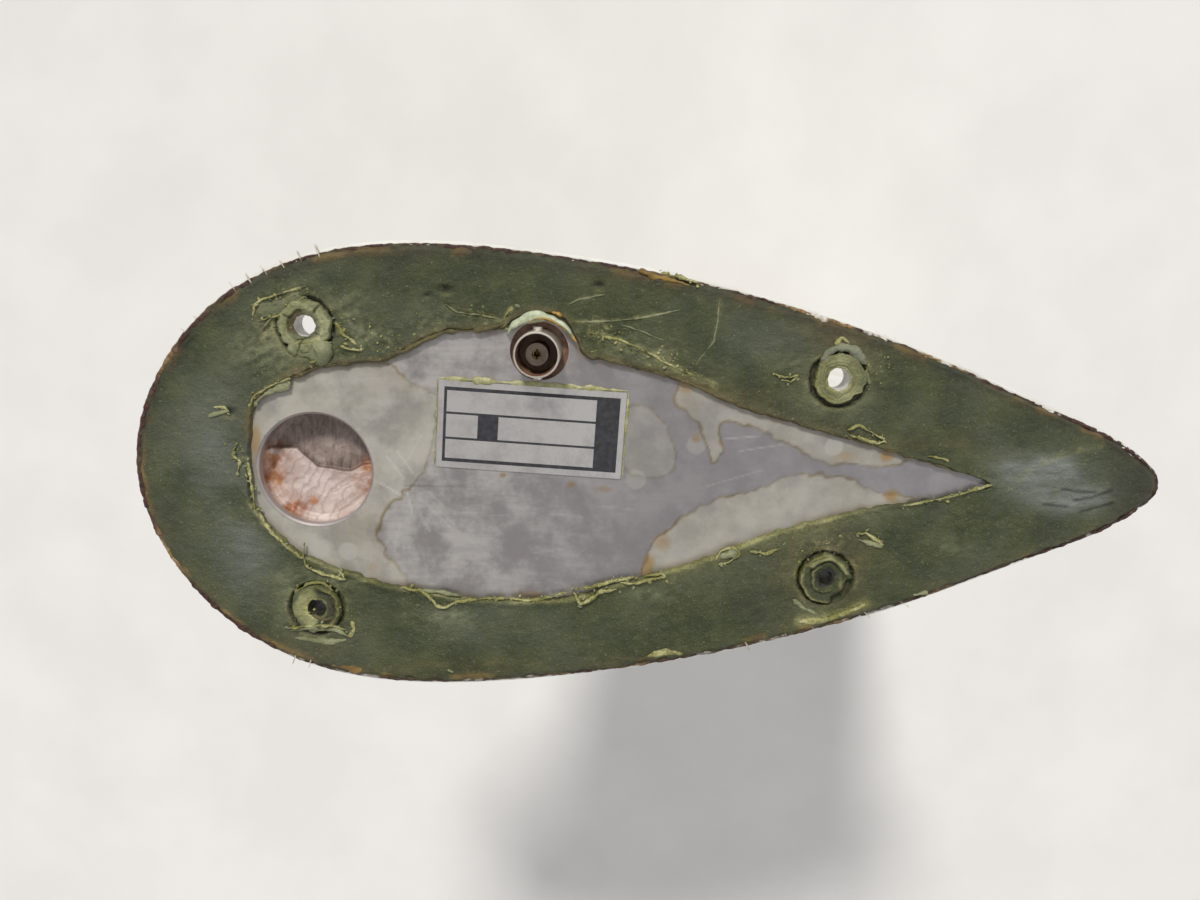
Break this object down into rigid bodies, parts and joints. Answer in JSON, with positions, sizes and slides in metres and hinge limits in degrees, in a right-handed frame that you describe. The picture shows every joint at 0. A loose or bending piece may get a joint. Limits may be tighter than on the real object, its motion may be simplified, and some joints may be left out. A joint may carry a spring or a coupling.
{
  "type": "aircraft blade antenna",
  "caption": "Swept blade antenna for a fuselage, with a teardrop base plate, a bayonet jack, screw bushings and a torn bed of dried sealant on its mounting face.",
  "frame": {"origin": "on the mounting face, on the centreline, midway between the front and the rear screws", "axes": "+Z out of the mounting face towards the fuselage, +X towards the rounded nose, +Y towards the left side; the blade hangs along -Z"},
  "size_m": [0.2257, 0.1, 0.243],
  "materials": {
    "radome_paint": "white paint over fibreglass, weathered at the rim",
    "foam": "rigid foam",
    "plate_metal": "scratched and stained, with a film of old sealant",
    "sealant": "dried olive-green sealant, semi-gloss, dusty",
    "bushing_metal": "machined",
    "collar_sealant": "torn sealant with pale edges",
    "filler_resin": "cast resin with orange stains",
    "jack_metal": "nickel plate, tarnished",
    "jack_insulation": "satin",
    "contact_metal": "dull",
    "screw_steel": "plain",
    "pale_sealant": "dried, whitish",
    "placard_foil": "satin foil with printed ruled boxes",
    "bead_sealant": "dried, yellowish",
    "card_laminate": "glass laminate",
    "copper": "tinned copper",
    "former_plastic": "plain",
    "ceramic": "glazed",
    "brass": "plain sheet and turned brass"
  },
  "bodies": {
    "root": {"radome_shell": "radome_paint", "foam_core": "foam", "base_plate": "plate_metal", "sealant_bed": "sealant", "screw_bushing_front_right": "bushing_metal", "screw_bushing_front_left": "bushing_metal", "screw_bushing_rear_right": "bushing_metal", "screw_bushing_rear_left": "bushing_metal", "sealant_collar_front_right": "collar_sealant", "sealant_collar_front_left": "collar_sealant", "sealant_collar_rear_right": "collar_sealant", "sealant_collar_rear_left": "collar_sealant", "port_filler": "filler_resin", "jack_shell": "jack_metal", "jack_insulator": "jack_insulation", "jack_contact": "contact_metal", "jack_screw_front_left": "screw_steel", "jack_screw_front_right": "screw_steel", "jack_screw_rear_left": "screw_steel", "jack_screw_rear_right": "screw_steel", "jack_sealant": "pale_sealant", "jack_lead": "copper", "placard": "placard_foil", "placard_bead": "bead_sealant", "matching_card": "card_laminate", "matching_coil": "copper", "coil_former": "former_plastic", "trimmer_body": "ceramic", "trimmer_rotor": "brass", "card_post_front": "brass", "card_post_rear": "brass", "card_screw_front": "screw_steel", "card_screw_rear": "screw_steel", "radiator": "brass", "feed_strap": "copper", "feed_rivet_upper": "brass", "feed_rivet_lower": "brass"}
  },
  "joints": []
}
